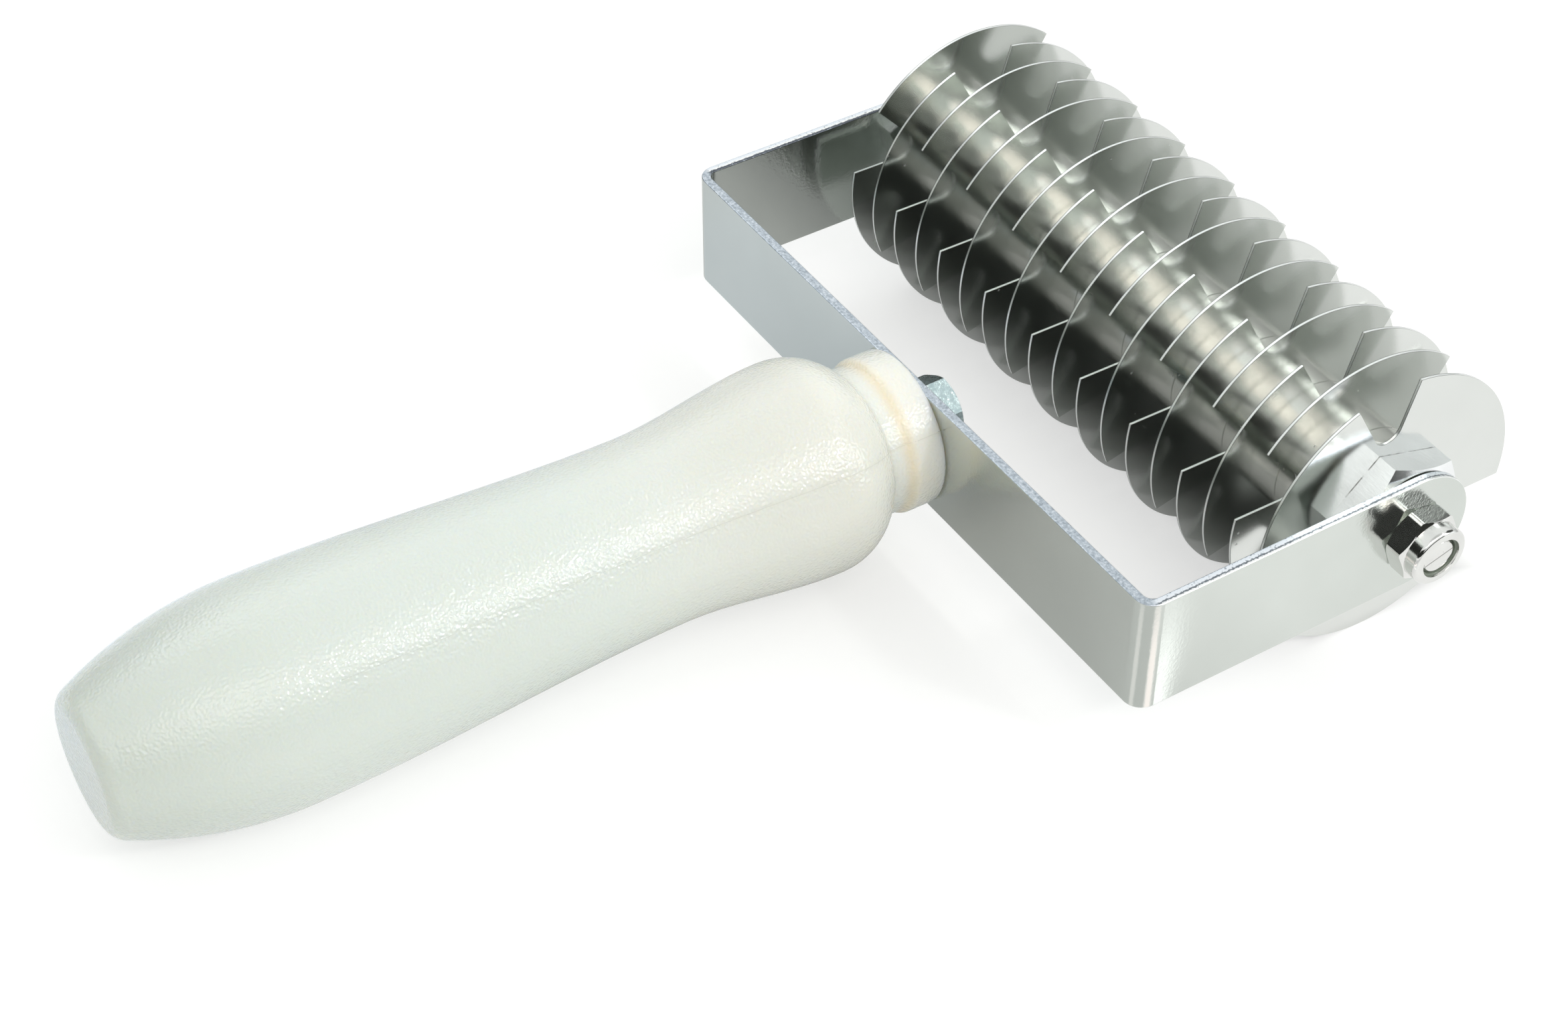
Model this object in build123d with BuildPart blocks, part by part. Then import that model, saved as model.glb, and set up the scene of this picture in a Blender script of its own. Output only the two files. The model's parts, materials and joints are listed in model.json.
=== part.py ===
from build123d import *
import os
from math import asin, atan2, cos, hypot, radians, sin, sqrt, tan

# Hand lattice cutter: a roller of notched discs in a strip yoke with a turned handle.
# Millimetres. X along the axle, Y from the handle to the roller, Z up from the table.

# Roller over its end nuts, the length that sets the width of the tool
roller_length = 114.05

# Blades: thin discs with V notches, every second one turned half a notch pitch
blade_count = 18
blade_radius = 23.0
blade_thickness = 0.5
notch_count = 3
notch_mouth_angle = 28.0
notch_flank_angle = 46.0
notch_root_radius = 2.6
notch_overrun = 2.0
odd_notch_angle = 98.65

# Spacers between the blades
spacer_radius = 10.0
spacer_edge = 0.15

# Nuts that clamp the pack of blades on the core
hub_nut_flats = 20.0
hub_nut_length = 4.5
hub_nut_corner_angle = 45.8

# Axle, the bushes that turn on it and the core tube
axle_radius = 4.0
axle_thread_radius = 3.0
axle_end_chamfer = 0.45
axle_end_recess = 0.5
bush_wall = 1.4
bush_length = 12.0
core_wall = 1.5
end_play = 0.1

# Clearances, all radial
running_clearance = 0.05
sliding_clearance = 0.03
thread_clearance = 0.02
hole_clearance = 0.1
mould_clearance = 0.02

# Self-locking axle nuts
axle_nut_wall = 2.0
axle_nut_height = 6.0
axle_nut_hex_height = 3.6
axle_nut_corner_angle = 52.4
axle_nut_corner_round = 0.8
lock_ring_wall = 0.9
lock_ring_height = 1.4
nut_collar_wall = 0.85
nut_collar_round = 0.7
nut_lip_reach = 0.6
nut_lip_height = 0.5

# Yoke: one flat strip bent to a U
strip_thickness = 1.5
strip_height = 20.0
strip_edge_round = 0.2
bend_inner_radius = 1.5
arm_length = 48.8
side_gap = 0.5

# Stud moulded into the handle, and the nut and washer that hold the yoke on it
stud_radius = 3.0
stud_in_handle = 30.0
stud_past_nut = 0.8
stud_end_chamfer = 0.5
stud_head_radius = 5.5
stud_head_thickness = 4.0
handle_nut_flats = 10.0
handle_nut_height = 5.0
washer_radius = 6.0
washer_thickness = 1.6

# Handle profile, measured back from the yoke
collar_radius = 12.25
collar_width = 4.3
collar_edge_round = 0.6
collar_cove = 1.9
neck_radius = 11.6
neck_groove_round = 0.5
shoulder_round = 11.0
bulge_radius = 16.6
bulge_from_yoke = 18.0
waist_radius = 14.15
waist_from_yoke = 43.5
belly_radius = 16.6
belly_from_yoke = 103.0
belly_round = 60.0
belly_to_butt = 27.2
butt_edge_round = 3.0

# Bevel of a hexagon's ends: it starts a little inside the flats
hex_bevel_angle = 30.0
hex_bevel_start = 0.97

# Roller: the blades share the length between the end nuts
roller_half = roller_length / 2
pack_length = roller_length - 2 * hub_nut_length
spacer_length = (pack_length - blade_count * blade_thickness) / (blade_count - 1)
blade_pitch = blade_thickness + spacer_length
bush_bore_radius = axle_radius + running_clearance
bush_radius = bush_bore_radius + bush_wall
core_bore_radius = bush_radius + sliding_clearance
core_radius = core_bore_radius + core_wall
pack_bore_radius = core_radius + sliding_clearance

# Yoke, from its middle outwards
yoke_inner_half = roller_half + side_gap
yoke_outer_half = yoke_inner_half + strip_thickness

# Rest pose: blade rims and the round of the belly stand on one table, so the tool tilts
belly_centre_back = arm_length + belly_from_yoke
belly_centre_out = belly_radius - belly_round
belly_centre_reach = hypot(belly_centre_back, belly_centre_out)
belly_centre_angle = atan2(belly_centre_out, belly_centre_back)
tilt = asin((blade_radius - belly_round) / belly_centre_reach) - belly_centre_angle

# The origin lies on the table, half way between the front rim and the butt
handle_length = belly_from_yoke + belly_to_butt
butt_round_back = belly_to_butt - butt_edge_round
butt_flat_radius = belly_centre_out + sqrt((belly_round - butt_edge_round) ** 2 - butt_round_back**2)
butt_reach = (arm_length + handle_length - butt_edge_round) * cos(tilt) + butt_edge_round
rear_reach = butt_reach + butt_flat_radius * sin(tilt)
axle_y = (rear_reach - blade_radius) / 2

# Working planes: the tilted tool, and one looking back along the handle
tool = Plane(origin=(0, axle_y, blade_radius), x_dir=(1, 0, 0), z_dir=(0, -sin(tilt), cos(tilt)))
tool_side = Plane(origin=tool.origin, x_dir=tool.y_dir, z_dir=tool.x_dir)
backwards = Plane(origin=tool.origin, x_dir=tool.x_dir, z_dir=-tool.y_dir)
handle_axis = Axis(tool.origin, backwards.z_dir)
ends = {"near": 1, "far": -1}


def across(x, facing=1):
    # Plane square to the axle, with its normal along the axle
    return Plane(origin=(x, axle_y, blade_radius), x_dir=(0, 1, 0), z_dir=(facing, 0, 0))


def bevel_hexagon(end, flats):
    # Cuts the corners of a hexagon back in a cone at the end that this plane faces
    inner = hex_bevel_start * flats / 2
    outer = flats
    drop = (outer - inner) * tan(radians(hex_bevel_angle))
    section = Plane(origin=end.origin, x_dir=end.x_dir, z_dir=-end.y_dir)
    with BuildSketch(section) as bevel:
        with BuildLine():
            Polyline((inner, 0), (outer, 0), (outer, -drop), close=True)
        make_face()
    revolve(bevel.sketch, axis=Axis(end.origin, end.z_dir), mode=Mode.SUBTRACT)


os.makedirs("parts", exist_ok=True)

# Blades, the first one at the near end
mouth_half = radians(notch_mouth_angle / 2)
flank_half = radians(notch_flank_angle / 2)
notch_apex = blade_radius * (cos(mouth_half) - sin(mouth_half) / tan(flank_half))
notch_top = blade_radius + notch_overrun
notch_half_width = (notch_top - notch_apex) * tan(flank_half)

with BuildSketch() as notch:
    with BuildLine():
        Polyline(
            (notch_apex, 0),
            (notch_top, notch_half_width),
            (notch_top, -notch_half_width),
            close=True,
        )
    make_face()
    fillet(notch.vertices().sort_by(Axis.X)[0], notch_root_radius)

for number in range(1, blade_count + 1):
    blade_x = pack_length / 2 - blade_thickness / 2 - (number - 1) * blade_pitch
    half_turn = 180 / notch_count if number % 2 == 0 else 0
    with BuildPart() as blade:
        with BuildSketch(across(blade_x)):
            Circle(blade_radius)
            with PolarLocations(0, notch_count, start_angle=odd_notch_angle + half_turn):
                add(notch.sketch, mode=Mode.SUBTRACT)
            Circle(pack_bore_radius, mode=Mode.SUBTRACT)
        extrude(amount=blade_thickness / 2, both=True)
    blade.part.label = f"blade_{number:02d}"
    export_step(blade.part, f"parts/blade_{number:02d}.step")

# Spacers
for number in range(1, blade_count):
    spacer_x = pack_length / 2 - blade_thickness - spacer_length / 2 - (number - 1) * blade_pitch
    with BuildPart() as spacer:
        with BuildSketch(across(spacer_x)):
            Circle(spacer_radius)
            Circle(pack_bore_radius, mode=Mode.SUBTRACT)
        extrude(amount=spacer_length / 2, both=True)
        rims = spacer.edges().filter_by(GeomType.CIRCLE).sort_by(SortBy.RADIUS)[-2:]
        chamfer(rims, spacer_edge)
    spacer.part.label = f"spacer_{number:02d}"
    export_step(spacer.part, f"parts/spacer_{number:02d}.step")

# Core tube through the whole roller
with BuildPart() as core:
    with BuildSketch(across(0)):
        Circle(core_radius)
        Circle(core_bore_radius, mode=Mode.SUBTRACT)
    extrude(amount=roller_half, both=True)
core.part.label = "core"
export_step(core.part, "parts/core.step")

# Hub nuts, bevelled on the outer side only
for end_name, facing in ends.items():
    with BuildPart() as hub_nut:
        with BuildSketch(across(facing * pack_length / 2, facing)):
            RegularPolygon(
                hub_nut_flats / 2,
                6,
                major_radius=False,
                rotation=facing * hub_nut_corner_angle,
            )
            Circle(core_radius + thread_clearance, mode=Mode.SUBTRACT)
        extrude(amount=hub_nut_length)
        bevel_hexagon(across(facing * roller_half, facing), hub_nut_flats)
    hub_nut.part.label = f"hub_nut_{end_name}"
    export_step(hub_nut.part, f"parts/hub_nut_{end_name}.step")

# Flanged bushes, pressed into the core from both ends
for end_name, facing in ends.items():
    with BuildPart() as bush:
        with BuildSketch(across(facing * roller_half, facing)):
            Circle(bush_radius)
        extrude(amount=-bush_length)
        with BuildSketch(across(facing * roller_half, facing)):
            Circle(core_radius)
        extrude(amount=side_gap - end_play)
        with BuildSketch(across(facing * yoke_inner_half, facing)):
            Circle(bush_bore_radius)
        extrude(amount=-(bush_length + side_gap), mode=Mode.SUBTRACT)
    bush.part.label = f"bush_{end_name}"
    export_step(bush.part, f"parts/bush_{end_name}.step")

# Axle: its shoulders meet the inner faces of the arms, its threaded ends pass through them
axle_half = yoke_outer_half + axle_nut_height - axle_end_recess
with BuildPart() as axle:
    with BuildSketch(across(0)):
        Circle(axle_radius)
    extrude(amount=yoke_inner_half, both=True)
    with BuildSketch(across(0)):
        Circle(axle_thread_radius)
    extrude(amount=axle_half, both=True)
    tips = axle.edges().filter_by(GeomType.CIRCLE).sort_by(Axis.X)
    chamfer([tips[0], tips[-1]], axle_end_chamfer)
axle.part.label = "axle"
export_step(axle.part, "parts/axle.step")

# Self-locking nuts: hexagon, round collar, and a lip closed over the ring
axle_nut_flats = 2 * (axle_thread_radius + axle_nut_wall)
lock_ring_radius = axle_thread_radius + lock_ring_wall
nut_collar_radius = lock_ring_radius + nut_collar_wall
nut_lip_radius = lock_ring_radius - nut_lip_reach
lock_ring_top = axle_nut_height - nut_lip_height
lock_ring_bottom = lock_ring_top - lock_ring_height

for end_name, facing in ends.items():
    arm_face = across(facing * yoke_outer_half, facing)
    with BuildPart() as axle_nut:
        with BuildSketch(arm_face):
            Circle(nut_collar_radius)
        extrude(amount=axle_nut_height)
        outwards = Axis(arm_face.origin, arm_face.z_dir)
        lip_edge = axle_nut.edges().filter_by(GeomType.CIRCLE).sort_by(outwards)[-1]
        fillet(lip_edge, nut_collar_round)
        with BuildSketch(arm_face) as nut_hexagon:
            RegularPolygon(
                axle_nut_flats / 2,
                6,
                major_radius=False,
                rotation=facing * axle_nut_corner_angle,
            )
            fillet(nut_hexagon.vertices(), axle_nut_corner_round)
        extrude(amount=axle_nut_hex_height)
        bevel_hexagon(arm_face.offset(axle_nut_hex_height), axle_nut_flats)
        bevel_hexagon(across(facing * yoke_outer_half, -facing), axle_nut_flats)
        with BuildSketch(arm_face):
            Circle(axle_thread_radius + thread_clearance)
        extrude(amount=lock_ring_bottom, mode=Mode.SUBTRACT)
        with BuildSketch(arm_face.offset(lock_ring_bottom)):
            Circle(lock_ring_radius)
        extrude(amount=lock_ring_height, mode=Mode.SUBTRACT)
        with BuildSketch(arm_face.offset(lock_ring_top)):
            Circle(nut_lip_radius)
        extrude(amount=nut_lip_height, mode=Mode.SUBTRACT)
    axle_nut.part.label = f"axle_nut_{end_name}"
    export_step(axle_nut.part, f"parts/axle_nut_{end_name}.step")
    with BuildPart() as lock_ring:
        with BuildSketch(arm_face.offset(lock_ring_bottom)):
            Circle(lock_ring_radius)
            Circle(axle_thread_radius + thread_clearance, mode=Mode.SUBTRACT)
        extrude(amount=lock_ring_height)
    lock_ring.part.label = f"lock_ring_{end_name}"
    export_step(lock_ring.part, f"parts/lock_ring_{end_name}.step")

# Yoke: the bent strip seen from above, then cut to its round-ended side view
bar_outer_y = -arm_length
bar_inner_y = strip_thickness - arm_length
arm_tip_y = strip_height / 2

with BuildPart() as yoke:
    with BuildSketch(tool):
        with BuildLine():
            FilletPolyline(
                (-yoke_outer_half, arm_tip_y),
                (-yoke_outer_half, bar_outer_y),
                (yoke_outer_half, bar_outer_y),
                (yoke_outer_half, arm_tip_y),
                radius=bend_inner_radius + strip_thickness,
            )
            Line((yoke_outer_half, arm_tip_y), (yoke_inner_half, arm_tip_y))
            FilletPolyline(
                (yoke_inner_half, arm_tip_y),
                (yoke_inner_half, bar_inner_y),
                (-yoke_inner_half, bar_inner_y),
                (-yoke_inner_half, arm_tip_y),
                radius=bend_inner_radius,
            )
            Line((-yoke_inner_half, arm_tip_y), (-yoke_outer_half, arm_tip_y))
        make_face()
    extrude(amount=strip_height / 2, both=True)
    with BuildSketch(tool_side):
        Circle(strip_height / 2)
        with Locations((-arm_length / 2, 0)):
            Rectangle(arm_length, strip_height)
    extrude(amount=yoke_outer_half, both=True, mode=Mode.INTERSECT)
    rim_edges = yoke.edges().filter_by(Axis(tool.origin, tool.z_dir), reverse=True)
    long_edges = rim_edges.filter_by(lambda edge: edge.length > 2 * strip_thickness)
    fillet(long_edges, strip_edge_round)
    with BuildSketch(tool_side):
        Circle(axle_thread_radius + hole_clearance)
    extrude(amount=yoke_outer_half, both=True, mode=Mode.SUBTRACT)
    with BuildSketch(backwards.offset(arm_length)):
        Circle(stud_radius + hole_clearance)
    extrude(amount=-2 * strip_thickness, mode=Mode.SUBTRACT)
yoke.part.label = "yoke"
export_step(yoke.part, "parts/yoke.step")

# Washer and nut on the inner side of the yoke, a corner of the nut upwards
washer_seat = arm_length - strip_thickness
nut_seat = washer_seat - washer_thickness
nut_face = nut_seat - handle_nut_height

with BuildPart() as handle_washer:
    with BuildSketch(backwards.offset(nut_seat)):
        Circle(washer_radius)
        Circle(stud_radius + hole_clearance, mode=Mode.SUBTRACT)
    extrude(amount=washer_thickness)
handle_washer.part.label = "handle_washer"
export_step(handle_washer.part, "parts/handle_washer.step")

with BuildPart() as handle_nut:
    with BuildSketch(backwards.offset(nut_face)):
        RegularPolygon(handle_nut_flats / 2, 6, major_radius=False, rotation=90)
        Circle(stud_radius + thread_clearance, mode=Mode.SUBTRACT)
    extrude(amount=handle_nut_height)
    nut_front = backwards.offset(nut_face)
    bevel_hexagon(Plane(origin=nut_front.origin, x_dir=tool.x_dir, z_dir=tool.y_dir), handle_nut_flats)
    bevel_hexagon(backwards.offset(nut_seat), handle_nut_flats)
handle_nut.part.label = "handle_nut"
export_step(handle_nut.part, "parts/handle_nut.step")

# Stud: a plain rod with a round head buried in the handle
stud_front = nut_face - stud_past_nut
stud_back = arm_length + stud_in_handle
stud_head_front = stud_back - stud_head_thickness

with BuildPart() as handle_stud:
    with BuildSketch(backwards.offset(stud_front)):
        Circle(stud_radius)
    extrude(amount=stud_back - stud_front)
    tip = handle_stud.edges().filter_by(GeomType.CIRCLE).sort_by(handle_axis)[0]
    chamfer(tip, stud_end_chamfer)
    with BuildSketch(backwards.offset(stud_head_front)):
        Circle(stud_head_radius)
    extrude(amount=stud_head_thickness)
handle_stud.part.label = "handle_stud"
export_step(handle_stud.part, "parts/handle_stud.step")

# Handle: a turned outline with a raised collar, a neck, and arcs at the shoulder, belly and butt
shoulder_centre = bulge_radius - shoulder_round
shoulder_foot = bulge_from_yoke - sqrt(shoulder_round**2 - (neck_radius - shoulder_centre) ** 2)
waist_step = (waist_from_yoke - bulge_from_yoke) / 3
belly_step = (belly_from_yoke - waist_from_yoke) / 3
butt_y = -arm_length - handle_length
belly_y = -arm_length - belly_from_yoke
waist_y = -arm_length - waist_from_yoke
bulge_y = -arm_length - bulge_from_yoke
foot_y = -arm_length - shoulder_foot
ring_y = -arm_length - collar_width
neck_y = ring_y - collar_cove
butt_share = belly_round / (belly_round - butt_edge_round)
butt_round_radius = belly_centre_out + (butt_flat_radius - belly_centre_out) * butt_share
butt_round_y = belly_y - butt_round_back * butt_share

with BuildPart() as handle:
    with BuildSketch(tool) as handle_outline:
        with BuildLine():
            Line((0, butt_y), (0, -arm_length))
            Line((0, -arm_length), (collar_radius, -arm_length))
            Line((collar_radius, -arm_length), (collar_radius, ring_y))
            Bezier(
                (collar_radius, ring_y),
                (collar_radius, ring_y - collar_cove / 2),
                (neck_radius, neck_y + collar_cove / 2),
                (neck_radius, neck_y),
            )
            Line((neck_radius, neck_y), (neck_radius, foot_y))
            TangentArc((bulge_radius, bulge_y), (neck_radius, foot_y), tangent=(0, 1))
            Bezier(
                (bulge_radius, bulge_y),
                (bulge_radius, bulge_y - waist_step),
                (waist_radius, waist_y + waist_step),
                (waist_radius, waist_y),
            )
            Bezier(
                (waist_radius, waist_y),
                (waist_radius, waist_y - belly_step),
                (belly_radius, belly_y + belly_step),
                (belly_radius, belly_y),
            )
            TangentArc((belly_radius, belly_y), (butt_round_radius, butt_round_y), tangent=(0, -1))
            TangentArc((butt_flat_radius, butt_y), (butt_round_radius, butt_round_y), tangent=(1, 0))
            Line((butt_flat_radius, butt_y), (0, butt_y))
        make_face()
        groove_corner = handle_outline.vertices().sort_by_distance((neck_radius, foot_y))[0]
        fillet(groove_corner, neck_groove_round)
        collar_corner = handle_outline.vertices().sort_by_distance((collar_radius, -arm_length))[0]
        fillet(collar_corner, collar_edge_round)
    revolve(axis=handle_axis)
    with BuildSketch(backwards.offset(arm_length)):
        Circle(stud_radius + mould_clearance)
    extrude(amount=stud_in_handle, mode=Mode.SUBTRACT)
    with BuildSketch(backwards.offset(stud_head_front - mould_clearance)):
        Circle(stud_head_radius + mould_clearance)
    extrude(amount=stud_head_thickness + 2 * mould_clearance, mode=Mode.SUBTRACT)
handle.part.label = "handle"
export_step(handle.part, "parts/handle.step")
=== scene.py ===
import bpy
import json
import math
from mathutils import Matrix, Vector


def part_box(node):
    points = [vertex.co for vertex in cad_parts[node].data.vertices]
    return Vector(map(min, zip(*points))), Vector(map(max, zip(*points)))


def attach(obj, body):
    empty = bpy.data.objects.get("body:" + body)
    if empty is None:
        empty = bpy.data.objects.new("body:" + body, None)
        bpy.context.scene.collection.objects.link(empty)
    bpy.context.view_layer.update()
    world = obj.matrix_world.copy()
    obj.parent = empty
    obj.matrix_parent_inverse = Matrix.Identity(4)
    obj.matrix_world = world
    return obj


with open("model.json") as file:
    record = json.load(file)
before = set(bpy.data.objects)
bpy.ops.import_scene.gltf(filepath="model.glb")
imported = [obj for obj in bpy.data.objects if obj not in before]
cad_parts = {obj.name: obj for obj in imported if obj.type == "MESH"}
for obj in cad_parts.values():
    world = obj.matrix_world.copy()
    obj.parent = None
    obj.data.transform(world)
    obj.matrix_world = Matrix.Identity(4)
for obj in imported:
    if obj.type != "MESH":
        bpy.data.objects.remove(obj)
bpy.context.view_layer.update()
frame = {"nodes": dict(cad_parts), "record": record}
nodes = frame["nodes"]
scene = bpy.context.scene

# the tool leans a little on the table, so its own directions come from the record
axleCentre = Vector(frame["record"]["behaviour"]["joints"][0]["pos_m"])
backWay = Vector(frame["record"]["mounts"][0]["axis"])      # along the handle, towards the butt
sideWay = Vector((1, 0, 0))
upWay = sideWay.cross(-backWay)
print("cutter: frame loaded,", len(nodes), "pieces")


# small helpers for meshes and node trees

columnWidth, rowHeight = 200, 160                            # node places are counted in columns and rows


def addObject(name, data):
    piece = bpy.data.objects.new(name, data)
    scene.collection.objects.link(piece)
    return piece


def addMesh(name, points, faces):
    mesh = bpy.data.meshes.new(name)
    mesh.from_pydata(points, [], faces)
    mesh.validate()
    for face in mesh.polygons:
        face.use_smooth = True
    return addObject(name, mesh)


def addNode(tree, kind, place, values=None, **settings):
    node = tree.nodes.new(kind)
    node.location = (place[0] * columnWidth, place[1] * rowHeight)
    for key, value in settings.items():
        setattr(node, key, value)
    for socket, value in (values or {}).items():
        node.inputs[socket].default_value = value
    return node


def newGroup(name, inputs, outputs):
    group = bpy.data.node_groups.new(name, "ShaderNodeTree")
    for label, kind, value in inputs:
        socket = group.interface.new_socket(label, in_out="INPUT", socket_type=kind)
        if value is not None:
            socket.default_value = value
    for label, kind in outputs:
        group.interface.new_socket(label, in_out="OUTPUT", socket_type=kind)
    return group, addNode(group, "NodeGroupInput", (-6, 0)), addNode(group, "NodeGroupOutput", (6, 0))


def fillSocket(tree, socket, value):
    # a socket takes another node's output, a number or a colour
    if isinstance(value, bpy.types.NodeSocket):
        tree.links.new(value, socket)
    elif socket.type == "RGBA":
        socket.default_value = (*value, 1)
    else:
        socket.default_value = value


def mixTwo(tree, place, factor, first, second, kind="RGBA"):
    node = addNode(tree, "ShaderNodeMix", place, data_type=kind)
    fillSocket(tree, node.inputs["Factor"], factor)
    fillSocket(tree, node.inputs["A"], first)
    fillSocket(tree, node.inputs["B"], second)
    return node.outputs["Result"]


def addRamp(tree, place, factor, stops):
    node = addNode(tree, "ShaderNodeValToRGB", place)
    ramp = node.color_ramp.elements
    for count, (height, tone) in enumerate(stops):
        stop = ramp[count] if count < 2 else ramp.new(height)
        stop.position = height
        stop.color = (*tone, 1)
    tree.links.new(factor, node.inputs["Fac"])
    return node.outputs["Color"]


def doMath(tree, place, operation, first, second=0.0):
    node = addNode(tree, "ShaderNodeMath", place, operation=operation)
    fillSocket(tree, node.inputs[0], first)
    fillSocket(tree, node.inputs[1], second)
    return node.outputs[0]


# effects shared by several finishes

effectLook = {
    "grainRough": 0.6,
    "cloudDetail": 4.0, "cloudRough": 0.55, "cloudFrom": 0.25, "cloudTo": 0.75,
    "spotFull": 2.0,                                         # over 1, so that a spot has a flat middle
}


def makeGrainGroup():
    # long fine lines of rolled, brushed or turned metal, or an even pebble when not stretched
    group, given, result = newGroup(
        "grainLines",
        [("Vector", "NodeSocketVector", None),
         ("Stretch", "NodeSocketVector", (1, 1, 1)),
         ("Scale", "NodeSocketFloat", 100.0),
         ("Detail", "NodeSocketFloat", 3.0)],
        [("Height", "NodeSocketFloat")])
    link = group.links.new
    stretched = addNode(group, "ShaderNodeVectorMath", (-4, 0), operation="MULTIPLY")
    lines = addNode(group, "ShaderNodeTexNoise", (-2, 0), {"Roughness": effectLook["grainRough"]})
    link(given.outputs["Vector"], stretched.inputs[0])
    link(given.outputs["Stretch"], stretched.inputs[1])
    link(stretched.outputs[0], lines.inputs["Vector"])
    link(given.outputs["Scale"], lines.inputs["Scale"])
    link(given.outputs["Detail"], lines.inputs["Detail"])
    link(lines.outputs["Fac"], result.inputs["Height"])
    return group


def makeMottleGroup():
    # slow cloudy change between two values
    group, given, result = newGroup(
        "handledMottle",
        [("Vector", "NodeSocketVector", None),
         ("Scale", "NodeSocketFloat", 60.0),
         ("Low", "NodeSocketFloat", 0.2),
         ("High", "NodeSocketFloat", 0.3)],
        [("Value", "NodeSocketFloat"), ("Mask", "NodeSocketFloat")])
    link = group.links.new
    clouds = addNode(group, "ShaderNodeTexNoise", (-4, 0),
                     {"Detail": effectLook["cloudDetail"], "Roughness": effectLook["cloudRough"]})
    spread = addNode(group, "ShaderNodeMapRange", (-2, 1),
                     {"From Min": effectLook["cloudFrom"], "From Max": effectLook["cloudTo"]},
                     interpolation_type="SMOOTHSTEP")
    ranged = addNode(group, "ShaderNodeMapRange", (0, 0), {"From Min": 0.0, "From Max": 1.0})
    link(given.outputs["Vector"], clouds.inputs["Vector"])
    link(given.outputs["Scale"], clouds.inputs["Scale"])
    link(clouds.outputs["Fac"], spread.inputs["Value"])
    link(spread.outputs["Result"], ranged.inputs["Value"])
    link(given.outputs["Low"], ranged.inputs["To Min"])
    link(given.outputs["High"], ranged.inputs["To Max"])
    link(ranged.outputs["Result"], result.inputs["Value"])
    link(spread.outputs["Result"], result.inputs["Mask"])
    return group


def makeSpeckGroup():
    # scattered specks of dust or pitting: a share of the cells each holds one round spot
    group, given, result = newGroup(
        "scatteredSpecks",
        [("Vector", "NodeSocketVector", None),
         ("Scale", "NodeSocketFloat", 300.0),
         ("Size", "NodeSocketFloat", 0.15),
         ("Share", "NodeSocketFloat", 0.2)],
        [("Mask", "NodeSocketFloat")])
    link = group.links.new
    cells = addNode(group, "ShaderNodeTexVoronoi", (-4, 0))
    channels = addNode(group, "ShaderNodeSeparateColor", (-2, 1))
    kept = addNode(group, "ShaderNodeMath", (0, 1), operation="LESS_THAN")
    spot = addNode(group, "ShaderNodeMapRange", (0, -1),
                   {"From Max": 0.0, "To Min": 0.0, "To Max": effectLook["spotFull"]})
    mask = addNode(group, "ShaderNodeMath", (3, 0), operation="MULTIPLY")
    link(given.outputs["Vector"], cells.inputs["Vector"])
    link(given.outputs["Scale"], cells.inputs["Scale"])
    link(cells.outputs["Color"], channels.inputs["Color"])
    link(channels.outputs["Red"], kept.inputs[0])
    link(given.outputs["Share"], kept.inputs[1])
    link(cells.outputs["Distance"], spot.inputs["Value"])
    link(given.outputs["Size"], spot.inputs["From Min"])
    link(kept.outputs[0], mask.inputs[0])
    link(spot.outputs["Result"], mask.inputs[1])
    mask.use_clamp = True
    link(mask.outputs[0], result.inputs["Mask"])
    return group


def makeBandGroup():
    # a soft-edged stripe at one distance along a direction
    group, given, result = newGroup(
        "stationBand",
        [("Vector", "NodeSocketVector", None),
         ("Origin", "NodeSocketVector", (0, 0, 0)),
         ("Way", "NodeSocketVector", (1, 0, 0)),
         ("Middle", "NodeSocketFloat", 0.0),
         ("Half", "NodeSocketFloat", 0.001),
         ("Soft", "NodeSocketFloat", 0.001)],
        [("Mask", "NodeSocketFloat"), ("Station", "NodeSocketFloat")])
    link = group.links.new
    offset = addNode(group, "ShaderNodeVectorMath", (-4, 0), operation="SUBTRACT")
    station = addNode(group, "ShaderNodeVectorMath", (-3, 0), operation="DOT_PRODUCT")
    away = addNode(group, "ShaderNodeMath", (-2, 0), operation="SUBTRACT")
    distance = addNode(group, "ShaderNodeMath", (-1, 0), operation="ABSOLUTE")
    outer = addNode(group, "ShaderNodeMath", (0, -2), operation="ADD")
    fade = addNode(group, "ShaderNodeMapRange", (2, 0), {"To Min": 1.0, "To Max": 0.0},
                   interpolation_type="SMOOTHSTEP")
    link(given.outputs["Vector"], offset.inputs[0])
    link(given.outputs["Origin"], offset.inputs[1])
    link(offset.outputs["Vector"], station.inputs[0])
    link(given.outputs["Way"], station.inputs[1])
    link(station.outputs["Value"], away.inputs[0])
    link(given.outputs["Middle"], away.inputs[1])
    link(away.outputs[0], distance.inputs[0])
    link(given.outputs["Half"], outer.inputs[0])
    link(given.outputs["Soft"], outer.inputs[1])
    link(distance.outputs[0], fade.inputs["Value"])
    link(given.outputs["Half"], fade.inputs["From Min"])
    link(outer.outputs[0], fade.inputs["From Max"])
    link(fade.outputs["Result"], result.inputs["Mask"])
    link(station.outputs["Value"], result.inputs["Station"])
    return group


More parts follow.
